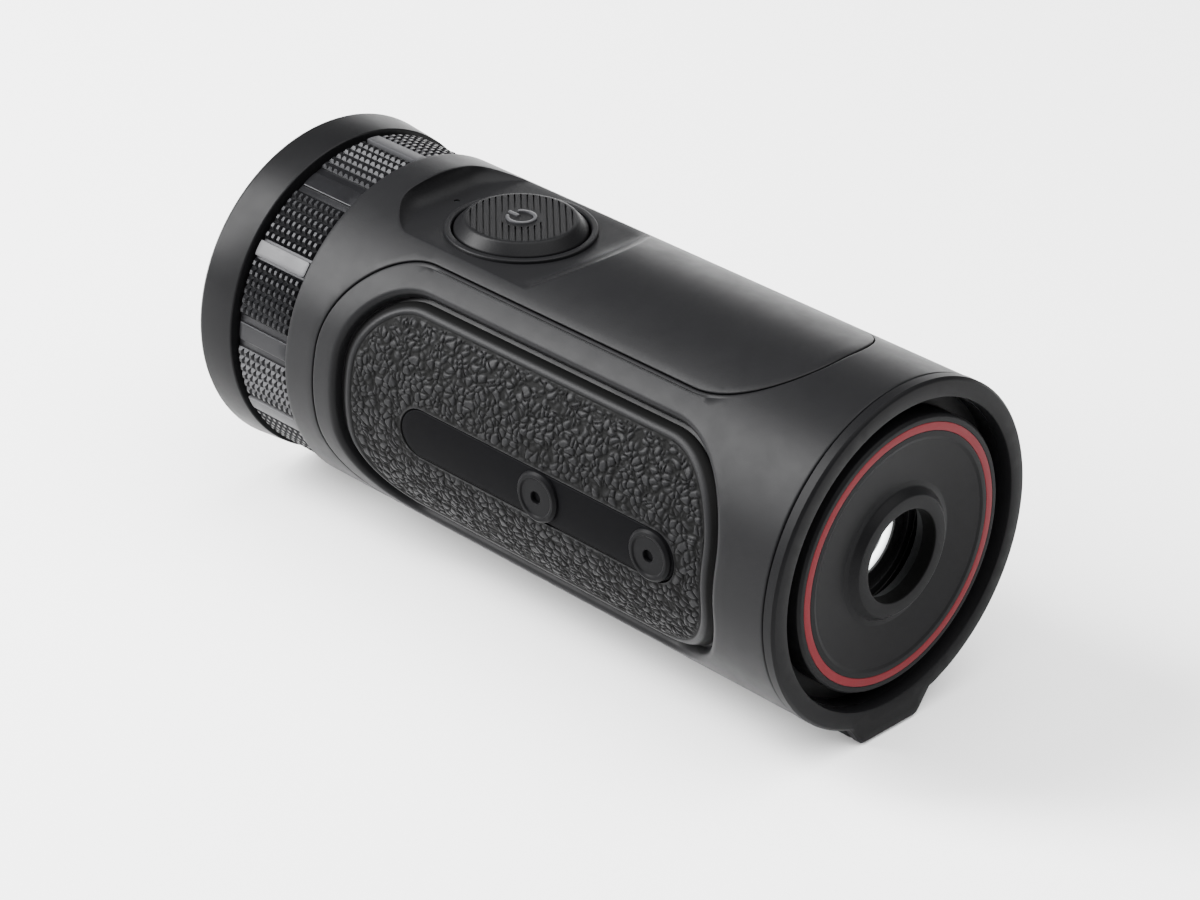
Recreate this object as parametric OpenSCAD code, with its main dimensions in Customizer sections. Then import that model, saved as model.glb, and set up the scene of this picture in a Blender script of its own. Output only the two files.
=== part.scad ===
// Pocket thermal monocular with knurled focus ring, dioptre dial and tripod keel.
// Millimetres. Objective faces +Y, eyepiece faces -Y, top is +Z.
// Origin: mouth of the tripod socket in the keel's flat underside.

/* [Body] */
// Outer radius of the round body
body_r = 28; // [27:0.1:29]
// Inner radius of the main shell
bore_r = 24.6; // [24.6:0.1:25]
// Overall length from eyepiece rim to front bezel
total_len = 126.5; // [126:0.1:128]
// Width of the visible seam between mouldings
seam = 0.2; // [0.1:0.05:0.3]
// Height of the tongue's joint face above the axis
tongue_z = 22.94; // [22.9:0.01:23]
// Rear end of the tongue
tongue_y = 13.4; // [13:0.1:14]
// Joint of the collar on the body's side
collar_y = 99.3; // [99:0.1:100]
// Front end of the collar
collar_end = 105.9; // [105.8:0.05:106]

/* [Top pocket] */
// Height of the pocket's flat floor above the axis
pocket_z = 24.45; // [24.3:0.05:24.6]
// Front end of the pocket
pocket_end = 99.6; // [99:0.1:100]

/* [Grip] */
// Rear edge of the grip recess
grip_y0 = 12.5; // [12:0.1:13]
// Front edge of the grip recess
grip_y1 = 94.5; // [94:0.1:95]
// Half height of the grip recess
grip_z = 19.6; // [19:0.1:20]
// Radius of the grip panel's outer face
grip_r = 27.1; // [26.8:0.05:27.3]
// Half width of the smooth strip
strip_hw = 4.3; // [4:0.1:4.5]
// Distance between the two accessory bosses
boss_pitch = 23.6; // [23.6:0.1:24]
// Radius of each boss hole
boss_hole_r = 1.0; // [0.8:0.05:1.2]

/* [Power button] */
// Position of the button along the body
button_y = 81; // [80:0.1:82]
// Radius of the button's flat top
button_top_r = 9.2; // [9:0.1:9.5]
// Height of the button's top above the axis
button_z = 26.7; // [26.5:0.05:27]
// Spacing of the ribs on the button
rib_pitch = 1.0; // [0.9:0.05:1.2]
// Direction of the ribs from straight ahead
rib_angle = 43.5; // [40:0.5:46]

/* [Focus ring] */
// Rear face of the focus ring
focus_y0 = 106.25; // [106.2:0.05:106.4]
// Front face of the focus ring
focus_y1 = 118.55; // [118.4:0.05:118.6]
// Radius over the knurl
knurl_r = 27.4; // [27.2:0.05:27.5]
// Angle of the first satin bar from the top
bar_phi = 55.2; // [50:0.1:60]
// Travel of the objective cell each way from the middle
objective_travel = 0.625; // [0.5:0.025:0.7]

/* [Eyepiece] */
// Radius of the dioptre dial
dial_r = 22.2; // [22:0.1:22.4]
// Radius of the eye aperture
aperture_r = 7.4; // [7:0.1:8]
// Inner radius of the rim around the dial
rim_r = 25.0; // [24.9:0.05:25.1]

/* [Keel and tripod socket] */
// Distance of the keel's underside below the axis
keel_z = 30.35; // [30:0.05:31]
// Half width of the keel's underside
keel_hw = 6.2; // [6:0.1:7]
// Position of the tripod socket from the rear face
socket_y = 55; // [54:0.5:56]
// Radius of the tripod socket's bore
socket_r = 3.25; // [3.2:0.01:3.3]

/* [Hidden] */
$fn = 96;
focus_c = 112;
cell_c = 14.5;
usb_y = 38.5;
hinge_y = 46.5;
hinge_x = 26.05;
pivot_z = 15.5;
bat_z = -8.5;

// Body coordinates: y from the rear face, z from the optical axis
module place() { translate([0, -socket_y, keel_z]) children(); }
module cy(r, y0, y1) { translate([0, y0, 0]) rotate([-90, 0, 0]) cylinder(r = r, h = y1 - y0); }
module rev(pts) { rotate([-90, 0, 0]) rotate_extrude() polygon(pts); }
module rev_z(pts) { rotate_extrude() polygon(pts); }
// 2D drawing in (y, z) swept along x
module side(x0, x1) { translate([x0, 0, 0]) rotate([90, 0, 90]) linear_extrude(x1 - x0) children(); }
// 2D drawing in (x, z) swept along y
module front(y0, y1) { translate([0, y1, 0]) rotate([90, 0, 0]) linear_extrude(y1 - y0) children(); }
module box(x0, x1, y0, y1, z0, z1) { translate([x0, y0, z0]) cube([x1 - x0, y1 - y0, z1 - z0]); }
// Sector between two angles measured from the top towards -x
module wedge(a0, a1, y0, y1) {
  front(y0, y1) polygon([[0, 0], for (i = [0:4]) let (a = a0 + (a1 - a0) * i / 4) [-40 * sin(a), 40 * cos(a)]]);
}
// Rounded outline with its own corner radius at each end
module slab2(y0, y1, h, ra, rb) {
  translate([y0 + ra, -h]) square([y1 - y0 - ra - rb, 2 * h]);
  translate([y0, -h + ra]) square([ra + 1, 2 * (h - ra)]);
  translate([y1 - rb - 1, -h + rb]) square([rb + 1, 2 * (h - rb)]);
  for (s = [-1, 1]) { translate([y0 + ra, s * (h - ra)]) circle(ra); translate([y1 - rb, s * (h - rb)]) circle(rb); }
}
// The core that the main shell keeps, seen from the side
module core(g) { side(-40, 40) slab2(-30, collar_y - g, tongue_z - g, 1, 16.2); }
// Space taken by the front cover: collar plus upper and lower tongue
module cover_zone(g) {
  difference() {
    union() {
      box(-40, 40, 26.2, 140, -40, 40);
      translate([0, 0, -40]) linear_extrude(80) intersection() {
        translate([-30, 0]) square([60, 30]);
        rotate(90) slab2(tongue_y - g, 60, 16.05 + g, 12.8, 1);
      }
    }
    core(g);
  }
}
module grip_cut(inset, r) {
  difference() {
    side(0, 40) slab2(grip_y0 + inset, grip_y1 - inset, grip_z - inset, 15.5 - inset, 13.55 - inset);
    cy(r, 0, 110);
  }
}
module pill2(g) { translate([20.9 - g, 0]) slab2(0, 58.7 + 2 * g, strip_hw + g, strip_hw + g - 0.01, strip_hw + g - 0.01); }
module keel2() { polygon([[-keel_hw, -keel_z], [keel_hw, -keel_z], [keel_hw + 3.2, -25.9], [-keel_hw - 3.2, -25.9]]); }
// Lens turned about the axis, with a radius of curvature for each face
module lens(r, y0, y1, ra, rb) {
  rev([for (i = [0:6]) let (q = r * i / 6) [q, y0 + ra - sqrt(ra * ra - q * q)], for (i = [6:-1:0]) let (q = r * i / 6) [q, y1 - rb + sqrt(rb * rb - q * q)]]);
}

module main_shell() color("#4a4b4d") place() {
  difference() {
    union() {
      difference() { cy(body_r, 2.1, collar_y - seam); cy(bore_r, 0, 110); }
      intersection() { box(22.6, 25.2, 32.6, 48.8, -5.2, 5.2); cy(25.2, 30, 50); }
    }
    cover_zone(seam);
    cy(rim_r + 1.25, 0, 6.7);
    grip_cut(0, 26); mirror([1, 0, 0]) grip_cut(0, 26);
    translate([0, button_y, 15]) cylinder(r = 12.3, h = 12);
    for (i = [0, 1]) translate([-30, 25.6 + i * boss_pitch, 0]) rotate([0, 90, 0]) cylinder(r = 2.55, h = 10);
    box(22, 26, usb_y - 4.6, usb_y + 4.6, -1.75, 1.75);
    box(24.25, 30, usb_y - 5.3, usb_y + 5.3, -2.5, 2.5);
    box(25.1, 30, 30.2, 47.8, -3.2, 3.2);
    translate([hinge_x, hinge_y, -3.2]) cylinder(r = 1.2, h = 6.4);
    translate([hinge_x, hinge_y, -4]) cylinder(r = 0.42, h = 8);
  }
}
module front_cover() color("#505153") place() {
  difference() {
    intersection() { cy(body_r, 0, collar_end); cover_zone(0); }
    intersection() { cy(bore_r, 0, 100.3); box(-40, 40, 0, 103.9, -tongue_z, tongue_z); }
    cy(bore_r, 100.3, 103.9);
    cy(23.4, 100, 110);
    intersection() { cy(26, 17, 57); box(-12.5, 12.5, 17, 57, 20, 30); }
    // pocket: ramp behind, flat floor, coved wall ahead, rounded front corners
    intersection() {
      side(-20, 20) {
        polygon([[58.3, 29], [66, pocket_z], [pocket_end - 3, pocket_z], [pocket_end - 3, 31], [58.3, 31]]);
        translate([pocket_end - 3, pocket_z + 3]) circle(3);
        translate([pocket_end - 4, pocket_z + 3]) square([4, 4]);
      }
      translate([0, 0, 20]) linear_extrude(14) rotate(90) slab2(40, pocket_end, 13.9, 1, 8);
    }
    translate([0, button_y, 20]) cylinder(r = 11.0, h = 10);
    translate([0, button_y, 15]) cylinder(r = 12.3, h = tongue_z - 15);
    translate([0, 95.7, 20]) cylinder(r = 0.5, h = 10);
    translate([0, socket_y, -32]) cylinder(r = 4.85, h = 12);
    for (y = [18, 92]) translate([0, y, -32]) cylinder(r = 1.25, h = 12);
  }
}
module rear_bezel() color("#3b3c3e") place() {
  rev([[rim_r, 0], [body_r - 0.2, 0], [body_r + 0.1, 0.3], [body_r + 0.1, 1.9], [rim_r + 1.2, 1.9], [rim_r + 1.2, 5.2],
    [25.2, 5.2], [25.2, 6.2], [rim_r + 1.2, 6.2], [rim_r + 1.2, 6.6], [20.5, 6.6], [20.5, 5], [rim_r, 5]]);
  difference() { front(0, 1.9) keel2(); cy(27, -1, 3); }
}
module base_rail() color("#3b3c3e") place() {
  difference() {
    intersection() {
      front(2.1, 100) keel2();
      side(-20, 20) polygon([[0, -keel_z], [96, -keel_z], [99.6, -25], [0, -25]]);
    }
    cy(body_r + 0.02, 0, 110);
    translate([0, socket_y, -32]) cylinder(r = 4.85, h = 12);
    for (y = [18, 92]) translate([0, y, 0]) {
      translate([0, 0, -32]) cylinder(r = 1.25, h = 12);
      translate([0, 0, -keel_z - 0.01]) cylinder(r1 = 2.45, r2 = 1.25, h = 1.3);
    }
  }
}
module base_screws() color("#8c8f92") place() {
  for (y = [18, 92]) translate([0, y, -keel_z]) difference() {
    union() { translate([0, 0, 0.1]) cylinder(r1 = 2.25, r2 = 1.15, h = 1.2); translate([0, 0, 0.2]) cylinder(r = 1.15, h = 6.8); }
    translate([0, 0, -0.1]) cylinder(r = 0.9, h = 0.9);
  }
}
module tripod_insert() color("#b08d3c") place() {
  translate([0, socket_y, 0]) difference() {
    union() {
      translate([0, 0, -keel_z]) cylinder(r = 4.8, h = keel_z - 21.5);
      translate([0, 0, -22.9]) cylinder(r = 6.5, h = 1.4);
    }
    translate([0, 0, -keel_z - 1]) cylinder(r = socket_r, h = 9);
  }
}
module grip_panel(stems) {
  difference() {
    intersection() { grip_cut(0.45, 26.05); cy(grip_r, 0, 110); }
    side(0, 40) pill2(0.1);
  }
}
module grip_panel_left() color("#2f3032") place() mirror([1, 0, 0]) grip_panel();
module grip_panel_right() color("#2f3032") place() grip_panel();
module strip() {
  difference() {
    intersection() { side(20, 40) pill2(0); cy(26.85, 0, 110); }
    cy(26.05, 0, 110);
  }
}
module label_strip_left() color("#1e1e1f") place() difference() {
  mirror([1, 0, 0]) strip();
  for (i = [0, 1]) translate([-30, 25.6 + i * boss_pitch, 0]) rotate([0, 90, 0]) { cylinder(r = 2.55, h = 10); cylinder(r = 4.26, h = 3.78); }
}
module label_strip_right() color("#1e1e1f") place() difference() {
  strip();
  box(20, 30, 30.2, 47.8, -3.2, 3.2);
  translate([hinge_x, hinge_y, -4]) cylinder(r = 0.42, h = 8);
}
module accessory_bosses() color("#2a2b2c") place() {
  for (i = [0, 1]) translate([-27.5, 25.6 + i * boss_pitch, 0]) rotate([0, 90, 0]) difference() {
    union() { cylinder(r1 = 3.95, r2 = 4.2, h = 0.3); translate([0, 0, 0.3]) cylinder(r = 4.2, h = 0.95); cylinder(r = 2.5, h = 4.5); }
    translate([0, 0, -0.1]) cylinder(r = 3.3, h = 0.3);
    translate([0, 0, -1]) cylinder(r = boss_hole_r, h = 5.1);
  }
}
module button_ring() color("#46474a") place() translate([0, button_y, 0])
  rev_z([[11.05, pocket_z + 0.02], [12.2, pocket_z + 0.02], [12.2, pocket_z + 0.35], [11.9, pocket_z + 0.6], [11.3, pocket_z + 0.6], [11.05, pocket_z + 0.35]]);
module light_pipe() color("#d8e0e4") place() translate([0, 95.7, tongue_z + 0.05]) cylinder(r = 0.46, h = 1.2);
module front_bezel() color("#46474a") place()
  rev([[23.25, 119.2], [body_r - 0.05, 119.2], [body_r + 0.55, 125.8], [body_r + 0.3, 126.3], [body_r - 0.1, total_len], [25.6, total_len], [21.8, 122.6], [18.6, 122.6], [18.6, 121.8], [23.25, 121.8]]);
module objective_housing() color("#6f7275") place() difference() {
  rev([[20.3, 96.6], [22.6, 96.6], [22.6, 100.4], [24.5, 100.4], [24.5, 101.5], [23.5, 101.5], [23.5, 102.7], [24.5, 102.7],
    [24.5, 103.8], [23.2, 103.8], [23.2, 121.6], [20.3, 121.6]]);
  box(18, 26, focus_c - 2, focus_c + 2, -1.3, 1.3);
}
module seals() color("#18181a") place() {
  rotate([-90, 0, 0]) { translate([0, 0, 102.1]) rotate_extrude() translate([24.04, 0]) circle(0.5); translate([0, 0, 5.7]) rotate_extrude() translate([25.71, 0]) circle(0.47); }
}
module usb_socket() color("#b9bcc0") place() {
  difference() {
    box(16.8, 24.2, usb_y - 4.5, usb_y + 4.5, -1.65, 1.65);
    box(18, 25, usb_y - 4.2, usb_y + 4.2, -1.3, 1.3);
  }
  box(17.5, 23.6, usb_y - 3.3, usb_y + 3.3, -0.35, 0.35);
  difference() { box(12, 22.4, 33, 44.4, -2.9, -1.65); box(22.3, 24, 30, 50, -4, 4); }
}
module usb_hinge_pin() color("#a6a9ad") place() translate([hinge_x, hinge_y, -3.9]) cylinder(r = 0.4, h = 7.8);
module usb_cover() color("#242526") place() {
  difference() {
    union() {
      intersection() { box(25.4, 30, 30.6, hinge_y, -2.9, 2.9); cy(26.85, 0, 110); }
      translate([hinge_x, hinge_y, -2.9]) cylinder(r = 0.8, h = 5.8);
      box(24.55, 25.5, usb_y - 4.9, usb_y + 4.9, -2.1, 2.1);
    }
    translate([hinge_x, hinge_y, -4]) cylinder(r = 0.45, h = 8);
  }
}
module chassis() color("#5b5e62") place() difference() {
  union() {
    intersection() { cy(24.4, 30.4, 32.4); box(-40, 40, 0, 110, -22.8, 22.8); }
    intersection() { cy(24.4, 85.5, 87.3); box(-40, 40, 0, 110, -20, 20); }
    for (y = [52, 72]) intersection() { cy(24.4, y, y + 2); box(-18, 18, 0, 110, -20, 4); }
    box(-16, 16, 32, 86, 3.5, 5);
    for (x = [-11, 11], y = [38, 74]) translate([x, y, 4.5]) cylinder(r = 1.9, h = 6.45);
    for (x = [-6, 6]) translate([x, 82, 4.5]) cylinder(r = 1.6, h = 11.65);
  }
  translate([0, 0, bat_z]) cy(9.4, 34.4, 84.2);
  box(-7, 7, 29, 34, -5, 5);
  translate([0, 0, pivot_z]) cy(3.1, 80, 90);
  for (x = [-11, 11], y = [38, 74]) translate([x, y, 6]) cylinder(r = 0.85, h = 8);
}
module main_board() color("#1f5a3a") place() difference() {
  box(-13.5, 13.5, 34, 78, 11, 12.2);
  for (x = [-11, 11], y = [38, 74]) translate([x, y, 6]) cylinder(r = 0.95, h = 8);
}
module board_components() color("#2b2b2d") place() {
  box(-6, 6, 48, 60, 12.22, 13.6); box(-11, -7.5, 50, 57, 12.22, 13.2); box(7.5, 11.5, 46, 54, 12.22, 13.4);
  box(-5, 5, 63, 69, 12.22, 14.2); box(-9, 9, 35, 37.6, 12.22, 14.6); for (i = [0:3]) box(-7 + 4 * i, -5 + 4 * i, 41.5, 44, 12.22, 13.3);
}
module board_screws() color("#c0c3c6") place()
  for (x = [-11, 11], y = [38, 74]) translate([x, y, 0]) { translate([0, 0, 7]) cylinder(r = 0.8, h = 5.3); translate([0, 0, 12.22]) cylinder(r = 1.6, h = 0.9); }
module button_board() color("#1f5a3a") place() box(-8, 8, 75, 83.7, 16.2, 17.2);
module key_switch() color("#26272a") place() difference() {
  box(-3, 3, button_y - 3, button_y + 3, 17.22, 20);
  translate([0, button_y, 17.6]) cylinder(r = 1.9, h = 5);
}
module battery_cell() color("#2d6ea8") place() translate([0, 0, bat_z]) cy(9.1, 34.8, 83.8);
module battery_contacts() color("#c8a24a") place() translate([0, 0, bat_z]) { cy(3.5, 32.45, 34.75); cy(3.5, 83.85, 85.45); }
module display_module() color("#202123") place() difference() { box(-9, 9, 26.5, 30.3, -7.5, 7.5); box(-7, 7, 26, 27.3, -5.5, 5.5); }
module display_panel() color("#10131a") place() box(-6.9, 6.9, 26.7, 27.25, -5.4, 5.4);
module eyepiece_housing() color("#2c2d2f") place() difference() {
  rev([[20.3, 6.65], [24.4, 6.65], [24.4, 8.4], [22.5, 8.4], [22.5, 26], [9.5, 26], [9.5, 24], [13.3, 24], [13.3, 6.65], [15.3, 6.65],
    [15.3, 24], [21.7, 24], [21.7, 20.8], [20.3, 20.8]]);
  box(12, 17, cell_c - 2.4, cell_c + 2.4, -1.3, 1.3);
}
module sensor_board() color("#1f5a3a") place() box(-12, 12, 88.2, 89.6, -12, 12);
module detector_package() color("#b59a55") place() box(-9, 9, 89.65, 92, -9, 9);
module detector_window() color("#59616b") place() cy(6, 92.02, 92.6);
module shutter_base() color("#55585b") place() difference() {
  cy(22.4, 93.1, 95.2);
  cy(21.4, 93.9, 96);
  cy(6.5, 92, 96);
  translate([0, 0, pivot_z]) cy(1.1, 92, 96);
}
module shutter_cover() color("#55585b") place() difference() { cy(22.4, 95.25, 96.1); cy(6.5, 92, 97); translate([0, 0, pivot_z]) cy(1.1, 92, 97); }
module shutter_motor() color("#9a9da1") place() translate([0, 0, pivot_z]) difference() { cy(3, 84, 93); cy(0.75, 86, 94); }
module shutter_blade() color("#1c1c1d") place() translate([0, 0, pivot_z]) rotate([0, -52, 0]) difference() {
  union() { cy(1.8, 94.3, 94.7); translate([0, 0, -pivot_z]) cy(6.9, 94.3, 94.7); box(-1.5, 1.5, 94.3, 94.7, -pivot_z, 0); }
  cy(0.72, 90, 96);
}
module shutter_shaft() color("#c3c6c9") place() translate([0, 0, pivot_z]) cy(0.7, 86.3, 95);
module focus_ring() color("#3a3b3d") place() difference() {
  union() {
    cy(26.6, focus_y0, focus_y1);
    for (i = [0:5], s = [0, 1]) intersection() {
      difference() { cy(knurl_r, focus_y0 + 0.25, focus_y1 - 0.2); cy(26, 100, 120); }
      wedge(bar_phi + 60 * i + (s ? 3 : -25), bar_phi + 60 * i + (s ? 25 : -3), 100, 120);
    }
  }
  cy(23.5, 100, 120);
  cy(25.0, focus_c - 2, focus_c + 2);
  difference() {
    for (i = [0:5]) wedge(bar_phi + 60 * i - 2.8, bar_phi + 60 * i + 2.8, 100, 120.01);
    cy(25.45, 90, 130);
  }
}
module focus_bars() color("#a5a6a8") place() for (i = [0:5]) intersection() {
  difference() { cy(knurl_r + 0.15, focus_y0, focus_y1); cy(25.5, 100, 120); }
  wedge(bar_phi + 60 * i - 2.7, bar_phi + 60 * i + 2.7, 100, 120);
}
module objective_cell() color("#2a2b2c") place()
  rev([[11.05, 98], [20, 98], [20, 120.4], [18.1, 120.4], [18.1, 114.6], [16.8, 114.6], [10.2, 103.6], [10.2, 102.6], [11.05, 102.6]]);
// Meniscus: both faces bulge forward
module objective_front_lens() color("#39464f") place()
  rev(concat([for (i = [0:6]) let (q = 2.75 * i) [q, 46.65 + sqrt(4900 - q * q)]], [[18.05, 114.7]], [for (i = [6:-1:0]) let (q = 18.05 * i / 6) [q, 58.9 + sqrt(3600 - q * q)]]));
module objective_rear_lens() color("#39464f") place() lens(11, 98.9, 102.4, 60, 60);
module objective_retainer() color("#202122") place() rev([[16.9, 116.6], [18.05, 116.4], [18.05, 120.3], [17.3, 120.3], [16.9, 119.6]]);
module objective_drive_pin() color("#b7babd") place() translate([20.03, focus_c, 0]) rotate([0, 90, 0]) cylinder(r = 1, h = 4.65);
module dioptre_dial() color("#2b2c2e") place()
  rev([[aperture_r, 0], [9.7, 0], [10.7, 1.15], [11.6, 1.3], [18.3, 0.62], [18.8, 0.44], [19.65, 0.44], [19.65, 0.9], [21.05, 0.9], [21.05, 0.44], [21.9, 0.44],
    [dial_r, 0.74], [dial_r, 4.6], [20, 4.6], [20, 21.2], [19.3, 21.2], [19.3, 22.2], [20, 22.2], [20, 23.4], [15.6, 23.4], [15.6, 16.9], [17.3, 16.9], [17.3, 12.1],
    [15.6, 12.1], [15.6, 4.6], [8.6, 4.6], [8.6, 2.6], [aperture_r, 2.6]]);
module dial_red_ring() color("#9c3038") place() rev([[19.7, 0.44], [21.0, 0.44], [21.0, 0.88], [19.7, 0.88]]);
module dial_retainer() color("#aeb1b5") place() rev([[19.32, 21.25], [21.3, 21.25], [21.3, 22.15], [19.32, 22.15]]);
module eyepiece_cell() color("#232425") place() rev([[11.05, 7], [13, 7], [13, 22], [10.55, 22], [10.55, 16.5], [10, 16.5], [10, 12.6], [11.05, 12.6]]);
module eye_lens() color("#a9bcc6") place() lens(11, 8.2, 12.55, 40, 30);
module field_lens() color("#a9bcc6") place() lens(10.5, 16.6, 20.4, 30, 60);
module eye_lens_retainer() color("#1b1c1d") place() { rev([[9.6, 7.1], [11, 7.1], [11, 8.3], [7.5, 8.3], [7.5, 7.9], [9.6, 7.9]]); rev([[9, 20.5], [10.5, 20.5], [10.5, 21.5], [9, 21.5]]); }
module eyepiece_drive_pin() color("#b7babd") place() translate([13.02, cell_c, 0]) rotate([0, 90, 0]) cylinder(r = 1, h = 3.9);
module button_cap() color("#333436") place() translate([0, button_y, 0]) difference() {
  rev_z([[0, 21.4], [2.2, 21.4], [2.2, 24.6], [8.6, 24.6], [8.6, 21.4], [11.8, 21.4], [11.8, 22.6], [10.65, 22.6], [10.65, 24.95], [button_top_r, button_z], [0, button_z]]);
  rotate(-rib_angle) intersection() {
    for (i = [-8:8]) translate([i * rib_pitch - 0.25, -9, button_z - 0.3]) cube([0.5, 18, 1]);
    difference() { cylinder(r = 8.7, h = 40); cylinder(r = 3.3, h = 40); }
  }
}
module power_symbol() color("#6a6b6e") place() translate([0, button_y, button_z + 0.01]) {
  rotate(120) rotate_extrude(angle = 300) translate([1.9, 0]) square([0.6, 0.25]);
  translate([-0.3, 0.6, 0]) cube([0.6, 2.2, 0.25]);
}
module switch_stem() color("#d0d2d4") place() translate([0, button_y, 18.6]) cylinder(r = 1.6, h = 2.78);

main_shell();
front_cover();
rear_bezel();
base_rail();
base_screws();
tripod_insert();
grip_panel_left();
grip_panel_right();
label_strip_left();
label_strip_right();
accessory_bosses();
button_ring();
light_pipe();
front_bezel();
objective_housing();
seals();
usb_socket();
usb_hinge_pin();
chassis();
main_board();
board_components();
board_screws();
button_board();
key_switch();
battery_cell();
battery_contacts();
display_module();
display_panel();
eyepiece_housing();
sensor_board();
detector_package();
detector_window();
shutter_base();
shutter_cover();
shutter_motor();
focus_ring();
focus_bars();
objective_cell();
objective_front_lens();
objective_rear_lens();
objective_retainer();
objective_drive_pin();
dioptre_dial();
dial_red_ring();
dial_retainer();
eyepiece_cell();
eye_lens();
field_lens();
eye_lens_retainer();
eyepiece_drive_pin();
button_cap();
power_symbol();
switch_stem();
usb_cover();
shutter_blade();
shutter_shaft();
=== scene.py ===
# %% [markdown]
# # A pocket thermal monocular
#
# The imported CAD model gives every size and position. This script builds the looks around it:
# moulded shells with real seams, a knurled ring, a leather-grain grip and the optics.
#
# All drawing happens in *body millimetres*: x to the right, y from the eyepiece rim towards
# the objective, z up from the optical axis. One function at the very end of the chain turns
# that into metres in the CAD's frame.

# %%
import bpy, bmesh, math
import numpy as np
from mathutils import Matrix, Vector, noise
from mathutils.geometry import delaunay_2d_cdt


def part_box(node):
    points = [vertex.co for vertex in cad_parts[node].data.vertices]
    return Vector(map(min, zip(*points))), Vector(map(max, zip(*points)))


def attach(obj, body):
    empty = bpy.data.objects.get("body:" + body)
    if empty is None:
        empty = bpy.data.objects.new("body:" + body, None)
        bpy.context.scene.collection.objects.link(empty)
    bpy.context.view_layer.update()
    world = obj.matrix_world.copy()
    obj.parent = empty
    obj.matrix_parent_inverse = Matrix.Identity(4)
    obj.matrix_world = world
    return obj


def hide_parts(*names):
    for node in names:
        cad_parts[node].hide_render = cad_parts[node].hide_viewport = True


# Vector noise starts from the clock unless it is given a seed
GRAIN_SEED = 7
noise.seed_set(GRAIN_SEED)

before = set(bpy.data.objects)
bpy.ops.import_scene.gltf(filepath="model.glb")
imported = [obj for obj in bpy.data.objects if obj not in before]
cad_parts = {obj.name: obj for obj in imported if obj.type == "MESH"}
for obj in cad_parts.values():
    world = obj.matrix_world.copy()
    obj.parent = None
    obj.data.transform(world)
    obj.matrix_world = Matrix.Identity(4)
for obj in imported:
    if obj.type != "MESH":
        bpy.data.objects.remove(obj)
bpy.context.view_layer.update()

# %% [markdown]
# ## Sizes read from the CAD
#
# The body radius, the height of the optical axis and the rear face come from there, so the
# looks follow the CAD if it changes.

# %%
def span(node, axis):
    """Lowest and highest coordinate of a CAD node along x, y or z, in body millimetres."""
    low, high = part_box(node)
    shift = (0, REAR, AXIS)[axis]
    return low[axis] * 1000 - shift, high[axis] * 1000 - shift

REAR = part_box("rear_bezel")[0][1] * 1000
AXIS = sum(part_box("dial_red_ring")[i][2] for i in (0, 1)) / 2 * 1000
R = (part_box("main_shell")[1][0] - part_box("main_shell")[0][0]) / 2 * 1000
COLLAR_END = span("front_cover", 1)[1]
FOCUS = span("focus_ring", 1)
BEZEL = span("front_bezel", 1)
BUTTON_Y = sum(span("button_cap", 1)) / 2
BUTTON_TOP = span("button_cap", 2)[1]
BOSS = span("accessory_bosses", 1)
KEEL = -span("base_rail", 2)[0]
TONGUE, CHORD, RIM_Y = 13.4, 22.94, 2.1
print(f"radius {R:.2f}, axis {AXIS:.2f}, length {BEZEL[1]:.2f}, keel {KEEL:.2f} mm")

# %% [markdown]
# ## Materials
#
# Each material is one Principled BSDF with layers of noise. Scales are given as the real
# size of the pattern in millimetres: object coordinates are metres, so the texture scale is
# 1000 / size. `add_node` adds a node, sets its inputs and wires it in one call.

# %%
def srgb(code):
    """Linear colour from a hex code."""
    values = [int(code[i:i + 2], 16) / 255 for i in (1, 3, 5)]
    return [v / 12.92 if v <= 0.04045 else ((v + 0.055) / 1.055) ** 2.4 for v in values] + [1.0]

def add_node(tree, kind, settings=None, **links):
    """A node with its settings, each input either a value or another node's output."""
    n = tree.nodes.new(kind)
    for key, value in (settings or {}).items():
        setattr(n, key, value)
    for key, value in links.items():
        numbered = key[0] == "i" and key[1:].isdigit()
        target = n.inputs[int(key[1:]) if numbered else key.replace("_", " ")]
        if isinstance(value, bpy.types.NodeSocket):
            tree.links.new(value, target)
        else:
            target.default_value = value
    return n

def new_object(name, data):
    """An object in the scene, at the origin."""
    ob = bpy.data.objects.new(name, data)
    bpy.context.scene.collection.objects.link(ob)
    return ob

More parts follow.
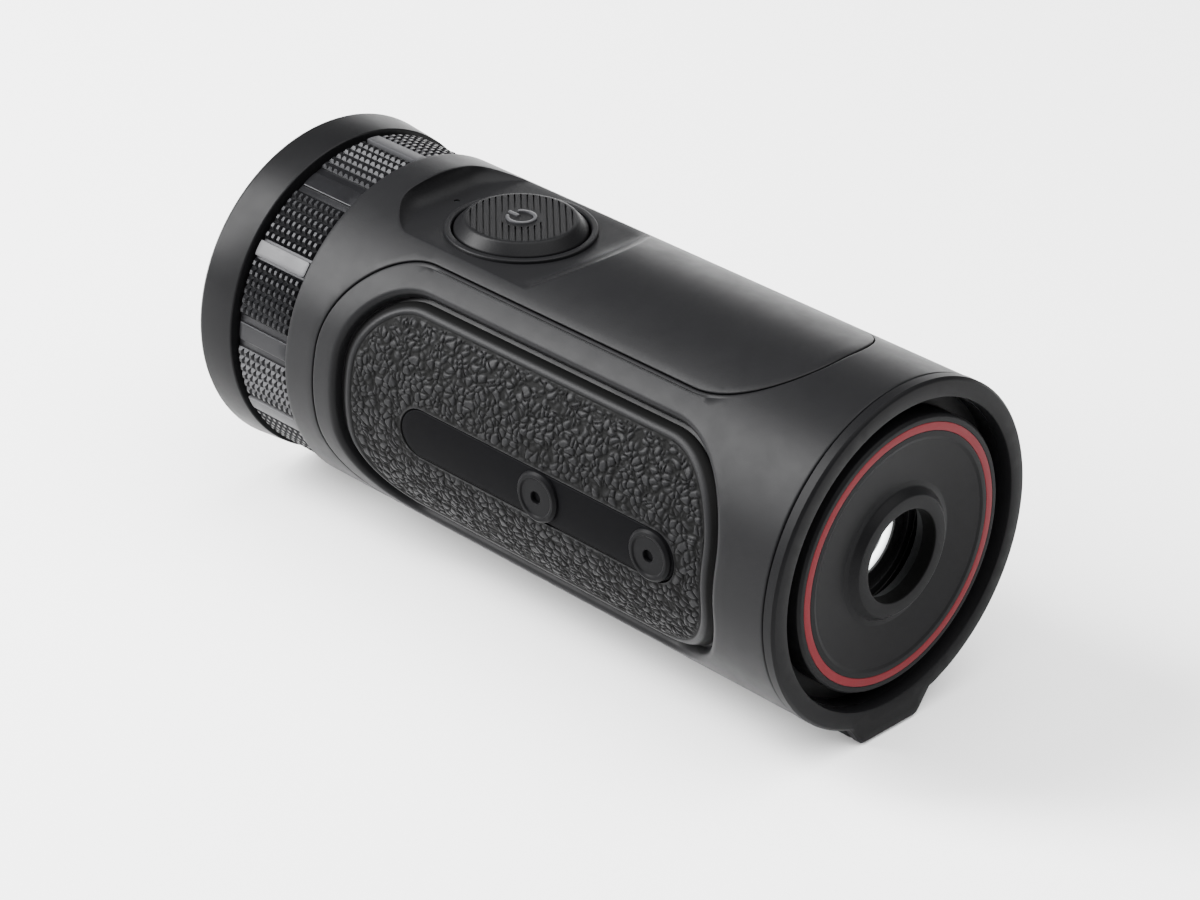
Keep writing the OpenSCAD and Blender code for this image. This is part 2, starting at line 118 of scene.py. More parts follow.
def surface(name, colour, rough, metal=0.0, grain=(0.25, 0.03), tone=0.12, smudge=0.08, shine=0.5, **extra):
    """A finish: base colour, roughness, and grain = (size, height) in millimetres."""
    m = bpy.data.materials.new(name)
    m.use_nodes = True
    t = m.node_tree
    p = t.nodes["Principled BSDF"]
    where = add_node(t, "ShaderNodeTexCoord").outputs["Object"]
    broad = add_node(t, "ShaderNodeTexNoise", Vector=where, Scale=1000 / 18, Detail=3.0).outputs["Fac"]
    fine = add_node(t, "ShaderNodeTexNoise", Vector=where, Scale=1000 / grain[0], Detail=2.0).outputs["Fac"]
    wipe = add_node(t, "ShaderNodeTexNoise", Vector=where, Scale=1000 / 4.5, Detail=6.0,
        Roughness=0.7).outputs["Fac"]
    base = srgb(colour)
    dark = [c * (1 - tone) for c in base[:3]] + [1]
    light = [min(1, c * (1 + tone)) for c in base[:3]] + [1]
    mixed = add_node(t, "ShaderNodeMix", {"data_type": "RGBA"}, Factor=broad)
    mixed.inputs[6].default_value, mixed.inputs[7].default_value = dark, light
    t.links.new(mixed.outputs[2], p.inputs["Base Color"])
    spread = add_node(t, "ShaderNodeMapRange", i0=wipe, i1=0.3, i2=0.7, i3=rough - smudge / 2,
        i4=rough + smudge / 2).outputs[0]
    t.links.new(spread, p.inputs["Roughness"])
    p.inputs["Metallic"].default_value = metal
    p.inputs["Specular IOR Level"].default_value = shine
    bump = add_node(t, "ShaderNodeBump", Height=fine, Strength=1.0, Distance=grain[1] / 1000)
    t.links.new(bump.outputs[0], p.inputs["Normal"])
    for key, value in extra.items():
        p.inputs[key.replace("_", " ")].default_value = value
    return m

# Satin-moulded ABS of the shell, spark-eroded texture
SHELL = surface("moulded ABS, satin", "#101011", 0.41, grain=(0.16, 0.012), tone=0.05, shine=0.06)
# The same plastic from a second tool, a hair lighter
COVER = surface("moulded ABS, satin, cover", "#111112", 0.40, grain=(0.16, 0.012), tone=0.05, shine=0.06)
# Finer, darker moulding of the eyepiece rim and dial
BEZEL_MAT = surface("moulded ABS, fine matte", "#0d0d0e", 0.42, grain=(0.12, 0.010), tone=0.05, shine=0.045)
# Moulded rubber with leather grain: the grain itself is in the mesh
GRIP = surface("moulded rubber, leather grain", "#0d0d0e", 0.43, grain=(0.28, 0.02), tone=0.15,
    smudge=0.12, shine=0.055)
# Semi-gloss inlay strip
STRIP = surface("semi-gloss inlay", "#060607", 0.45, grain=(0.2, 0.004), tone=0.05, shine=0.012)
# Bosses: the same dark plastic, moulded matte
BOSS_MAT = surface("moulded ABS, dark bosses", "#0a0a0b", 0.42, grain=(0.14, 0.008), tone=0.05, shine=0.03)
# Black anodised aluminium of the focus ring
ANODISED = surface("anodised aluminium, black", "#101012", 0.35, metal=0.55, grain=(0.1, 0.006), tone=0.08,
    shine=0.16)
# Hood ring, painted
HOOD = surface("painted ring, satin", "#0d0d0e", 0.38, grain=(0.16, 0.010), tone=0.05, shine=0.06)
# Bead-blasted natural aluminium bars
BLASTED = surface("aluminium, bead blasted", "#28282a", 0.50, metal=0.2, grain=(0.10, 0.008), tone=0.04,
    shine=0.3)
# Light-absorbing lens barrel paint
BARREL = surface("barrel paint, matte black", "#0b0b0c", 0.62, grain=(0.15, 0.010), tone=0.1, shine=0.25)
RED = surface("paint, satin red", "#540912", 0.46, grain=(0.2, 0.005), tone=0.05, shine=0.1)
BUTTON = surface("moulded ABS, matte", "#0e0e0f", 0.40, grain=(0.14, 0.010), tone=0.05, shine=0.06)
SYMBOL = surface("printed symbol, satin", "#2c2c2e", 0.34, grain=(0.2, 0.004), tone=0.03, shine=0.3)
RUBBER = surface("silicone rubber, black", "#101011", 0.58, grain=(0.3, 0.010), tone=0.08, shine=0.06)
STEEL = surface("zinc-plated steel", "#74767a", 0.30, metal=1.0, grain=(0.3, 0.004), tone=0.08)
BRASS = surface("machined brass", "#b08d4a", 0.28, metal=1.0, grain=(0.3, 0.004), tone=0.06)
# Germanium with an infrared coating: dark, mirror-like, faintly blue-green
GERMANIUM = surface("germanium, coated", "#26363d", 0.06, metal=0.85, grain=(4, 0.0005), tone=0.05,
    smudge=0.02, Coat_Weight=1.0, Coat_Tint=(0.5, 0.9, 0.8, 1))
GLASS = surface("optical glass, coated", "#101418", 0.03, grain=(6, 0.0004), tone=0.02, smudge=0.01,
    Coat_Weight=1.0, Coat_Tint=(0.75, 0.85, 1.0, 1))
def by_radius(material, inner, outer, at_inner, at_outer):
    """A value that changes smoothly with the distance from the optical axis, radii in mm."""
    tree = material.node_tree
    spot = add_node(tree, "ShaderNodeTexCoord").outputs["Object"]
    flat_spot = add_node(tree, "ShaderNodeVectorMath", {"operation": "MULTIPLY"}, i0=spot,
        i1=(1, 0, 1)).outputs[0]
    reach = add_node(tree, "ShaderNodeVectorMath", {"operation": "DISTANCE"}, i0=flat_spot,
        i1=(0, 0, AXIS / 1000)).outputs["Value"]
    return add_node(tree, "ShaderNodeMapRange", {"interpolation_type": "SMOOTHSTEP"}, i0=reach,
        i1=inner / 1000, i2=outer / 1000, i3=at_inner, i4=at_outer).outputs[0]

def painted_shade_inside(material, inner, outer, dark, light, dull, smooth):
    """Colour and roughness that change between two radii; the colour change is painted shade, darker
    towards the axis.
    """
    tree = material.node_tree
    skin = tree.nodes["Principled BSDF"]
    painted_shade_mix = add_node(tree, "ShaderNodeMix", {"data_type": "RGBA"},
        Factor=by_radius(material, inner, outer, 0.0, 1.0))
    painted_shade_mix.inputs[6].default_value, painted_shade_mix.inputs[7].default_value = srgb(dark), srgb(light)
    tree.links.new(painted_shade_mix.outputs[2], skin.inputs["Base Color"])
    tree.links.new(by_radius(material, inner, outer, dull, smooth), skin.inputs["Roughness"])

# Creases of the grain lie closer to the optical axis: painted shade makes them darker, and they are duller
painted_shade_inside(GRIP, 26.78, 27.02, "#030303", "#131314", 0.64, 0.40)
# Painted shade: the bore round the eye is near black in colour, and rougher
painted_shade_inside(BEZEL_MAT, 7.5, 7.65, "#010101", "#0d0d0e", 0.85, 0.42)
# The eye lens with painted light: emission paints a bright ring as its highlight, and a pale base colour
# with faint emission paints the grey in the middle
PAINTED_GLOW_GLASS = surface("optical glass, painted glow", "#8f9698", 0.05, grain=(6, 0.0004), tone=0.02, smudge=0.01,
    Coat_Weight=1.0)
# Painted glow: emission strength rises in a ring round the middle of the lens and stays faint inside it
painted_glow = add_node(PAINTED_GLOW_GLASS.node_tree, "ShaderNodeMath", {"operation": "MULTIPLY"},
                i0=by_radius(PAINTED_GLOW_GLASS, 5.8, 6.1, 0.03, 1.0),
                i1=by_radius(PAINTED_GLOW_GLASS, 6.6, 10.0, 7.0, 0.15)).outputs[0]
skin = PAINTED_GLOW_GLASS.node_tree.nodes["Principled BSDF"]
PAINTED_GLOW_GLASS.node_tree.links.new(painted_glow, skin.inputs["Emission Strength"])
skin.inputs["Emission Color"].default_value = srgb("#f4f8f8")
BOARD = surface("solder resist, green", "#1d5a3c", 0.4, grain=(0.5, 0.01))
GAP = surface("shadowed inner plastic", "#121214", 0.6, grain=(0.4, 0.01))
BLUE = surface("shrink wrap, blue", "#2d6ea8", 0.35, grain=(0.6, 0.01))
GOLD = surface("gold-plated package", "#b99b52", 0.3, metal=1.0, grain=(0.3, 0.004))
PIPE = surface("translucent plastic, smoked", "#1a1b1c", 0.25, grain=(0.3, 0.004))
print("materials:", len(bpy.data.materials))

# %% [markdown]
# ## Turning a profile
#
# Lenses, rings and dials are turned parts: a profile of (radius, position, corner radius)
# points is rounded at its corners and spun a full turn with `bmesh.ops.spin`. With
# `use_merge` the last column of vertices joins the first.

# %%
def round_corners(points, steps=5):
    """Replaces each corner that has a radius with an arc. The profile is closed."""
    out = []
    for i, (a, b, r) in enumerate(points):
        here = Vector((a, b))
        before, after = (Vector(points[i - 1][:2]) - here, Vector(points[(i + 1) % len(points)][:2]) - here)
        if r <= 0 or before.length < 1e-6 or after.length < 1e-6:
            out.append((a, b))
            continue
        d1, d2 = before.normalized(), after.normalized()
        half = math.acos(max(-1, min(1, d1.dot(d2)))) / 2
        if half > 1.54:
            out.append((a, b))
            continue
        reach = min(r / math.tan(half), before.length * 0.49, after.length * 0.49)
        r = reach * math.tan(half)
        middle = here + (d1 + d2).normalized() * (r / math.sin(half))
        start, end = here + d1 * reach - middle, here + d2 * reach - middle
        turn = start.angle_signed(end)
        for k in range(steps + 1):
            v = start.copy()
            v.rotate(Matrix.Rotation(-turn * k / steps, 2))
            out.append(tuple(middle + v))
    return out

def turned(profile, n=180, axis="y", centre=(0, 0, 0), steps=5):
    """A bmesh of the rounded profile spun about the y axis, or about z."""
    bm = bmesh.new()
    pts = round_corners(profile, steps)
    verts = [bm.verts.new((r, h, 0) if axis == "y" else (r, 0, h)) for r, h in pts]
    edges = [bm.edges.new((verts[i], verts[(i + 1) % len(verts)])) for i in range(len(verts))
             if not (abs(pts[i][0]) < 1e-9 and abs(pts[(i + 1) % len(verts)][0]) < 1e-9)]
    bmesh.ops.spin(bm, geom=verts + edges, cent=(0, 0, 0), axis=(0, 1, 0) if axis == "y" else (0, 0, 1),
                   angle=2 * math.pi, steps=n, use_merge=True)
    bmesh.ops.translate(bm, verts=bm.verts, vec=centre)
    return bm

# %%
def merge_bms(*parts):
    """One bmesh out of several."""
    out = bmesh.new()
    for part in parts:
        mesh = bpy.data.meshes.new("part")
        part.to_mesh(mesh)
        part.free()
        out.from_mesh(mesh)
        bpy.data.meshes.remove(mesh)
    return out

def finish_piece(node, bm, material, body, sharp=32):
    name = node + "_looks"
    bmesh.ops.remove_doubles(bm, verts=bm.verts, dist=0.0008)
    bmesh.ops.dissolve_degenerate(bm, dist=0.0002, edges=bm.edges)
    bmesh.ops.recalc_face_normals(bm, faces=bm.faces)
    bmesh.ops.transform(bm, matrix=Matrix.Translation((0, REAR / 1000, AXIS / 1000)) @ Matrix.Scale(0.001,
        4), verts=bm.verts)
    mesh = bpy.data.meshes.new(name)
    bm.to_mesh(mesh)
    tris = sum(len(f.verts) - 2 for f in bm.faces)
    bm.free()
    for p in mesh.polygons:
        p.use_smooth = True
    mesh.set_sharp_from_angle(angle=math.radians(sharp))
    mesh.materials.append(material)
    ob = new_object(name, mesh)
    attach(ob, body)
    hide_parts(node)
    print(f"{name}: {tris} triangles")

# %% [markdown]
# ## Shells drawn on the unrolled cylinder
#
# The mouldings are pieces of one cylinder, cut by curved seams. Unrolled, the cylinder is
# a flat sheet with u = angle x R (angle from the top towards -x) and v = y. A piece is an
# outline loop plus hole loops on that sheet. Around each loop run offset rings that
# carry the rounded edge and the wall; the field inside is filled with a constrained
# Delaunay triangulation over a regular grid, and everything is rolled up again.

# %%
def roll(u, v, depth):
    """From the sheet to body millimetres, depth below radius R."""
    a = np.asarray(u) / R
    r = R - np.asarray(depth)
    return np.stack([-r * np.sin(a), np.broadcast_to(v, a.shape), r * np.cos(a)], -1)

def placed(x, y, z):
    """Points in space from three coordinates, each an array or one value."""
    return np.stack(np.broadcast_arrays(x, y, z), -1)

def inside(points, loops):
    """Even-odd test of points against closed loops."""
    hit = np.zeros(len(points), bool)
    for loop in loops:
        for a, b in zip(loop, np.roll(loop, -1, 0)):
            if a[1] == b[1]:
                continue
            cross = (a[1] > points[:, 1]) != (b[1] > points[:, 1])
            x = a[0] + (points[:, 1] - a[1]) * (b[0] - a[0]) / (b[1] - a[1])
            hit ^= cross & (points[:, 0] < x)
    return hit

def near(points, loops, reach):
    """True where a point lies closer than reach to a loop."""
    close = np.zeros(len(points), bool)
    for loop in loops:
        for a, b in zip(loop, np.roll(loop, -1, 0)):
            lo, hi = np.minimum(a, b) - reach, np.maximum(a, b) + reach
            pick = np.flatnonzero(~close & (points >= lo).all(1) & (points <= hi).all(1))
            if not len(pick):
                continue
            d = b - a
            t = np.clip(((points[pick] - a) @ d) / max(d @ d, 1e-12), 0, 1)
            gap = np.linalg.norm(points[pick] - a - t[:, None] * d, axis=1)
            close[pick[gap < reach]] = True
    return close

def fill(loops, du, dv):
    """Triangles of the region between the loops, as (points, faces)."""
    every = np.concatenate(loops)
    lo, hi = every.min(0), every.max(0)
    us = np.arange(round(lo[0] / du), round(hi[0] / du) + 1) * du
    vs = np.arange(math.ceil(lo[1] / dv), hi[1] / dv) * dv
    grid = np.stack(np.meshgrid(us, vs), -1).reshape(-1, 2)
    grid = grid[inside(grid, loops)]
    grid = grid[~near(grid, loops, 0.45 * min(du, dv))]
    edges, base = [], 0
    for loop in loops:
        n = len(loop)
        edges += [(base + i, base + (i + 1) % n) for i in range(n)]
        base += n
    points = np.concatenate([every, grid])
    verts, _, faces = delaunay_2d_cdt([Vector(p) for p in points], edges, [], 0, 1e-6)[:3]
    verts = np.array([tuple(v) for v in verts])
    faces = np.array(faces)
    return verts, faces[inside(verts[faces].mean(1), loops)]

def offset(loop, keep, d):
    """The loop moved inward by d along its mitres. Segments with keep 0 stay in place."""
    a, b = np.roll(loop, 1, 0), np.roll(loop, -1, 0)
    t1, t2 = loop - a, b - loop
    t1 /= np.linalg.norm(t1, axis=1)[:, None]
    t2 /= np.linalg.norm(t2, axis=1)[:, None]
    n1, n2 = np.stack([-t1[:, 1], t1[:, 0]], 1), np.stack([-t2[:, 1], t2[:, 0]], 1)
    d1, d2 = d * np.roll(keep, 1), d * keep
    det = n1[:, 0] * n2[:, 1] - n1[:, 1] * n2[:, 0]
    flat = np.abs(det) < 0.05
    safe = np.where(flat, 1, det)
    mitre = np.stack([(d1 * n2[:, 1] - d2 * n1[:, 1]) / safe, (d2 * n1[:, 0] - d1 * n2[:, 0]) / safe], 1)
    mean = (n1 + n2) / np.linalg.norm(n1 + n2, axis=1)[:, None] * ((d1 + d2) / 2)[:, None]
    return loop + np.where(flat[:, None], mean, mitre)

def edge_rings(radius, wall, start=0.0, steps=4):
    """(inset, depth) pairs of a rounded edge and the wall below it."""
    arc = [(radius * (1 - math.sin(k / steps * math.pi / 2)),
        start + radius * (1 - math.cos(k / steps * math.pi / 2))) for k in range(steps + 1)]
    return arc + [(0.0, wall)]

def shell(loops, spacing, back=None, height=None, place=None, floors=()):
    """A piece drawn on a sheet. loops = [(points, keep flags, rings)], outline anticlockwise,
    holes clockwise. The last ring's depth is the piece's thickness; back = True closes the
    inside. floors lists the loops that are blind recesses. place puts (u, v, depth) in space;
    it rolls the sheet up by default."""
    place = place or roll
    verts, faces, base = [], [], 0
    borders = [offset(p, keep, rings[0][0]) for p, keep, rings in loops]
    pts, tris = fill(borders, *spacing)
    depth = np.full(len(pts), loops[0][2][0][1])
    if height is not None:
        depth = height(pts, borders)
    verts.append(place(pts[:, 0], pts[:, 1], depth))
    faces += [tuple(f) for f in tris]
    base += len(pts)
    for p, keep, rings in loops:
        n = len(p)
        edge = np.maximum(keep, np.roll(keep, 1))
        levels = []
        for inset, deep in rings:
            q = offset(p, keep, inset)
            w = np.where(edge > 0, deep(q) if callable(deep) else deep, rings[0][1])
            if inset == rings[0][0] and height is not None:
                w = height(q, borders)
            verts.append(place(q[:, 0], q[:, 1], w))
            levels.append(base)
            base += n
        for a, b in zip(levels, levels[1:]):
            faces += [(a + i, b + i, b + (i + 1) % n, a + (i + 1) % n) for i in range(n) if keep[i] > 0]
    if back:
        thick = loops[0][2][-1][1]
        pts, tris = fill([p for i, (p, _, _) in enumerate(loops) if i not in floors], 2.0, 3.0)
        verts.append(place(pts[:, 0], pts[:, 1], np.full(len(pts), thick)))
        faces += [tuple(base + i for i in f[::-1]) for f in tris]
        base += len(pts)
    for k in floors:
        p, _, rings = loops[k]
        pts, tris = fill([offset(p, ones(p), rings[-1][0])[::-1]], *spacing)
        verts.append(place(pts[:, 0], pts[:, 1], np.full(len(pts), rings[-1][1])))
        faces += [tuple(base + i for i in f) for f in tris]
        base += len(pts)
    bm = bmesh.new()
    vs = [bm.verts.new(v) for v in np.concatenate(verts)]
    for f in faces:
        corners = [vs[i] for i in f]
        if len(set(corners)) == len(corners):
            try:
                bm.faces.new(corners)
            except ValueError:
                pass
    return bm

def arc(cx, cy, r, a0, a1, n):
    """Points of an arc, angles in degrees."""
    a = np.radians(np.linspace(a0, a1, n))
    return np.stack([cx + r * np.cos(a), cy + r * np.sin(a)], 1)

def resample(points, step):
    """Evenly spaced points along a polyline, both ends kept."""
    s = np.concatenate([[0], np.cumsum(np.linalg.norm(np.diff(points, axis=0), axis=1))])
    n = max(1, int(round(s[-1] / step)))
    t = np.linspace(0, s[-1], n + 1)
    return np.stack([np.interp(t, s, points[:, i]) for i in (0, 1)], 1)

def from_side(yz):
    """Side-view (y, z) points onto the left half of the sheet."""
    return np.stack([R * np.arccos(np.clip(yz[:, 1] / R, -1, 1)), yz[:, 0]], 1)

def from_top(xy):
    """Top-view (x, y) points, x positive, onto the left half of the sheet."""
    return np.stack([R * np.arcsin(xy[:, 0] / R), xy[:, 1]], 1)

# %% [markdown]
# ## The seam between main shell and front cover
#
# Seen from above the tongue ends in a rounded nose; seen from the side the shell's front
# end is a rounded panel. The two drawings meet on the chord where the tongue's flat joint
# face leaves the cylinder. The underside mirrors the top.

# %%
NOSE_FLAT, NOSE_R, FLANK_R, COLLAR_Y = 1.25, 14.8, 16.2, 99.3
nose = np.concatenate([[[0, TONGUE]], arc(NOSE_FLAT, TONGUE + NOSE_R, NOSE_R, -90, 0, 40)])
nose[:, 0] *= R * math.sin(math.acos(CHORD / R)) / (NOSE_FLAT + NOSE_R)
flank_arc = arc(COLLAR_Y - FLANK_R, CHORD - FLANK_R, FLANK_R, 90, 0, 48)
flank = np.concatenate([[[TONGUE + NOSE_R, CHORD]], flank_arc, [[COLLAR_Y, 0]]])
upper = np.concatenate([resample(from_top(nose), 0.8), resample(from_side(flank), 0.8)[1:]])
half_turn = math.pi * R
lower = np.stack([half_turn - upper[::-1, 0], upper[::-1, 1]], 1)
seam_left = np.concatenate([upper, lower[1:]])
seam = np.concatenate([seam_left[::-1], (seam_left * [-1, 1])[1:]])
print("seam points:", len(seam))

def straight(a, b, step=1.0):
    return resample(np.array([a, b], float), step)

# %% [markdown]
# ## Grip outline
#
# The recess and the panel share centres for their corner arcs: front corners of 13.55 mm
# and rear corners of 15.5 mm in side view.

# %%
def grip_loop(inset=0.0, step=0.7):
    """Closed clockwise outline on the left half of the sheet, from the side-view drawing."""
    h, rear, fore = 19.6 - inset, 12.5 + inset, 94.5 - inset
    ra, rb = 15.5 - inset, 13.55 - inset
    yz = np.concatenate([arc(rear + ra, h - ra, ra, 180, 90, 30), arc(fore - rb, h - rb, rb, 90, 0, 30),
                         arc(fore - rb, -(h - rb), rb, 0, -90, 30),
                         arc(rear + ra, -(h - ra), ra, -90, -180, 30)])
    yz = np.concatenate([yz, yz[:1]])
    return resample(from_side(yz), step)[:-1]

def pill_loop(half, rear, fore, step=0.5):
    mid = half_turn / 2
    pts = np.concatenate([arc(mid, rear + half, half, 180, 360, 24),
        arc(mid, fore - half, half, 0, 180, 24)])
    pts = np.concatenate([pts, pts[:1]])
    return resample(pts, step)[:-1]

def signed_area(p):
    q = np.roll(p, -1, 0)
    return float(np.sum(p[:, 0] * q[:, 1] - q[:, 0] * p[:, 1]) / 2)

def oriented(p, anticlockwise):
    return p if (signed_area(p) > 0) == anticlockwise else p[::-1].copy()

def ones(p):
    return np.ones(len(p))

def looped(p, rings):
    """A loop whose segments all move with its offset rings."""
    return p, ones(p), rings

def circle(cx, cy, r, n=48, clockwise=True):
    return arc(cx, cy, r, *((360, 0) if clockwise else (0, 360)), n + 1)[:-1]

def rounded_box(x0, x1, y0, y1, r, step=0.8, clockwise=False):
    """A rectangle with round corners, as a closed loop."""
    p = np.concatenate([arc(x1 - r, y1 - r, r, 0, 90, 9), arc(x0 + r, y1 - r, r, 90, 180, 9),
                        arc(x0 + r, y0 + r, r, 180, 270, 9), arc(x1 - r, y0 + r, r, 270, 360, 9)])
    p = resample(np.concatenate([p, p[:1]]), step)[:-1]
    return p[::-1].copy() if clockwise else p

# %% [markdown]
# ## Main shell
#
# The sheet is cut open along the bottom line, where the keel hides it. Segments on that
# cut get keep = 0, so they stay in place and close up when the sheet is rolled.

# %%
SEAM_GAP = 0.15
rear_edge = straight((-half_turn, RIM_Y), (half_turn, RIM_Y), 1.0)
cut_up = straight((half_turn, RIM_Y), (half_turn, TONGUE), 1.0)
outline = np.concatenate([rear_edge[:-1], cut_up[:-1], seam[:-1], cut_up[::-1][:-1] * [-1, 1]])
keep = np.concatenate([np.ones(len(rear_edge) - 1), np.zeros(len(cut_up) - 1), np.ones(len(seam) - 1),
    np.zeros(len(cut_up) - 1)])
assert signed_area(outline) > 0
grip_hole = oriented(grip_loop(), False)
grip_hole_r = oriented(grip_hole * [-1, 1], False)
def second_line(q):
    """A hairline groove beside the long sides of the tongue seam."""
    return 0.15 * np.clip((q[:, 1] - 22) / 6, 0, 1) * np.clip((86 - q[:, 1]) / 6, 0, 1)

shell_rings = [(1.02, 0.0), (0.9, second_line), (0.8, second_line),
    (0.68, 0.0)] + [(SEAM_GAP + i, d) for i, d in edge_rings(0.26, 3.2)]
hole_rings = [(1.1, 0.0), (0.8, 0.03), (0.5, 0.13), (0.25, 0.32), (0.08, 0.62), (0.0, 1.0), (0.0, 3.2)]
bm = shell([(outline, keep, shell_rings), looped(grip_hole, hole_rings), looped(grip_hole_r, hole_rings)],
    (1.1, 1.4), back=True)
def recess_floor(side, holes=()):
    """The plate under a grip panel, its own shell so that the panel has something to sit on."""
    p = oriented(grip_loop(-0.1) * [side, 1], True)
    loops = [looped(p, [(0.0, 2.12), (0.0, 3.2)])]
    loops += [looped(h, [(0.0, 2.12), (0.0, 3.2)]) for h in holes]
    return shell(loops, (2.0, 3.0), back=True)

flap_pocket = rounded_box(-half_turn / 2 - 3.3, -half_turn / 2 + 3.3, 30.1, 47.9, 0.4, 0.8, clockwise=True)
def pocket_step(outer, inner, top, bottom):
    """One step of the flap's pocket: a flat plate facing +x, with the next step's mouth in it."""
    loops = [looped(loop, [(0.0, 0.0), (0.0, top - bottom)]) for loop in (outer, inner)]
    return shell(loops, (1.5, 1.5), back=True, place=lambda u, v, d: placed(top - d, v, -u))

wide_step = pocket_step(rounded_box(-3.4, 3.4, 30.0, 48.0, 0.4),
    rounded_box(-2.5, 2.5, 33.2, 43.8, 0.5, clockwise=True), 25.1, 24.25)
deep_step = pocket_step(rounded_box(-2.7, 2.7, 33.0, 44.0, 0.5),
    rounded_box(-1.75, 1.75, 33.9, 43.1, 1.6, 0.5, clockwise=True), 24.25, 23.4)
bm = merge_bms(bm, recess_floor(1), recess_floor(-1, [flap_pocket]), wide_step, deep_step)
finish_piece("main_shell", bm, SHELL, "housing")

# %% [markdown]
# ## The pocket around the button
#
# Its rim is where the pocket's surfaces cut the cylinder: a ramp behind, straight sides on
# the flat floor, and in front a wall with a coved foot that fades out round the corners.

# %%
FLOOR = 24.45
POCKET_END = 99.6
CORNER_X, CORNER_R = 5.9, 8
RAMP_FOOT, RAMP_SLOPE = 66, 0.5917
def on_top(x):
    return np.sqrt(R * R - np.asarray(x) ** 2)

def cove(d, r):
    """Height of the coved wall at a distance d inside the pocket's outline."""
    d = np.minimum(d, r)
    return FLOOR + r - np.sqrt(np.maximum(r * r - (r - d) ** 2, 0))

rim = []   # x, y, inset where the wall starts, cove radius, inward direction
half_floor = math.sqrt(R * R - FLOOR * FLOOR)
for x in np.linspace(0, half_floor, 24):
    rim.append((x, RAMP_FOOT - (float(on_top(x)) - FLOOR) / RAMP_SLOPE, 0, 0, 0, 0))
for y in np.arange(67, 91, 1.0):
    rim.append((half_floor, y, 0, 0, 0, 0))
for a in np.radians(np.linspace(0, 90, 36)):
    q = min(1, a / math.radians(60))
    r = 3 * q * q * (3 - 2 * q)
    px, py = CORNER_X + CORNER_R * math.cos(a), POCKET_END - CORNER_R + CORNER_R * math.sin(a)
    nx, ny = -math.cos(a), -math.sin(a)
    low_d, high_d = 0.0, max(r, 0.3)
    if float(on_top(px)) < cove(0, r):
        for _ in range(30):
            mid = (low_d + high_d) / 2
            if float(on_top(px + nx * mid)) < cove(mid, r):
                low_d = mid
            else: high_d = mid
        start = high_d
    else:
        start = 0.0
    rim.append((px + nx * start, py + ny * start, start, max(r, start), nx, ny))
for x in np.linspace(CORNER_X, 0, 9)[1:]:
    rim.append((x, POCKET_END, 0, 3, 0, -1))
rim = np.array(rim)
mirror = rim[-2:0:-1].copy()
mirror[:, 0] *= -1
mirror[:, 4] *= -1
rim = np.concatenate([rim, mirror])
pocket_hole = np.stack([-R * np.arcsin(rim[:, 0] / R), rim[:, 1]], 1)
if signed_area(pocket_hole) > 0:
    rim, pocket_hole = rim[::-1], pocket_hole[::-1]
print("pocket rim points:", len(rim))

def strips(bm, levels, closed=True):
    """Quads between successive rings of points. Returns the vertex rings."""
    rings = [[bm.verts.new(p) for p in level] for level in levels]
    n = len(rings[0])
    for a, b in zip(rings, rings[1:]):
        for i in range(n if closed else n - 1):
            j = (i + 1) % n
            bm.faces.new((a[i], b[i], b[j], a[j]))
    return rings

def pocket_surface():
    """Wall, cove, floor and ramp, with holes for the button and the light pipe."""
    bm = bmesh.new()
    lip = roll(pocket_hole[:, 0], pocket_hole[:, 1], np.full(len(rim), 0.07))
    levels = [lip]
    for s in np.linspace(0, 1, 9):
        d = rim[:, 2] + (rim[:, 3] - rim[:, 2]) * (1 - math.cos(s * math.pi / 2))
        x, y = rim[:, 0] + rim[:, 4] * (d - rim[:, 2]), rim[:, 1] + rim[:, 5] * (d - rim[:, 2])
        z = np.where(rim[:, 3] > rim[:, 2], cove(d, np.maximum(rim[:, 3], 1e-6)), lip[:, 2])
        levels.append(np.stack([x, y, np.minimum(z, lip[:, 2])], 1))
    strips(bm, levels)
    foot = oriented(levels[-1][:, :2], True)
    t = np.linspace(0, 2 * math.pi, 97)[:-1]
    ring = np.stack([11.2 * np.cos(t), BUTTON_Y + 11.2 * np.sin(t)], 1)
    t = np.linspace(0, 2 * math.pi, 25)[:-1]
    tiny = np.stack([0.5 * np.cos(t), 95.7 + 0.5 * np.sin(t)], 1)
    pts, tris = fill([foot, ring[::-1], tiny[::-1]], 1.0, 1.0)
    slope = (RAMP_FOOT - pts[:, 1]) * RAMP_SLOPE
    z = FLOOR + (slope + np.sqrt(slope ** 2 + 0.25)) / 2
    z = np.where(slope < -3, FLOOR, z)
    flat = levels[-1]
    for i, p in enumerate(pts):      # the border keeps the heights of the ring above it
        k = np.argmin(np.abs(flat[:, :2] - p).sum(1))
        if abs(flat[k, 0] - p[0]) + abs(flat[k, 1] - p[1]) < 1e-4:
            z[i] = flat[k, 2]
    vs = [bm.verts.new((p[0], p[1], h)) for p, h in zip(pts, z)]
    for f in tris:
        bm.faces.new([vs[i] for i in f])
    for loop, deep in ((ring, 1.4), (tiny, 1.2)):
        strips(bm, [np.column_stack([loop, np.full(len(loop), FLOOR)]),
            np.column_stack([loop, np.full(len(loop), FLOOR - deep)])])
    return bm

# %% [markdown]
# ## Front cover: collar and tongues in one moulding

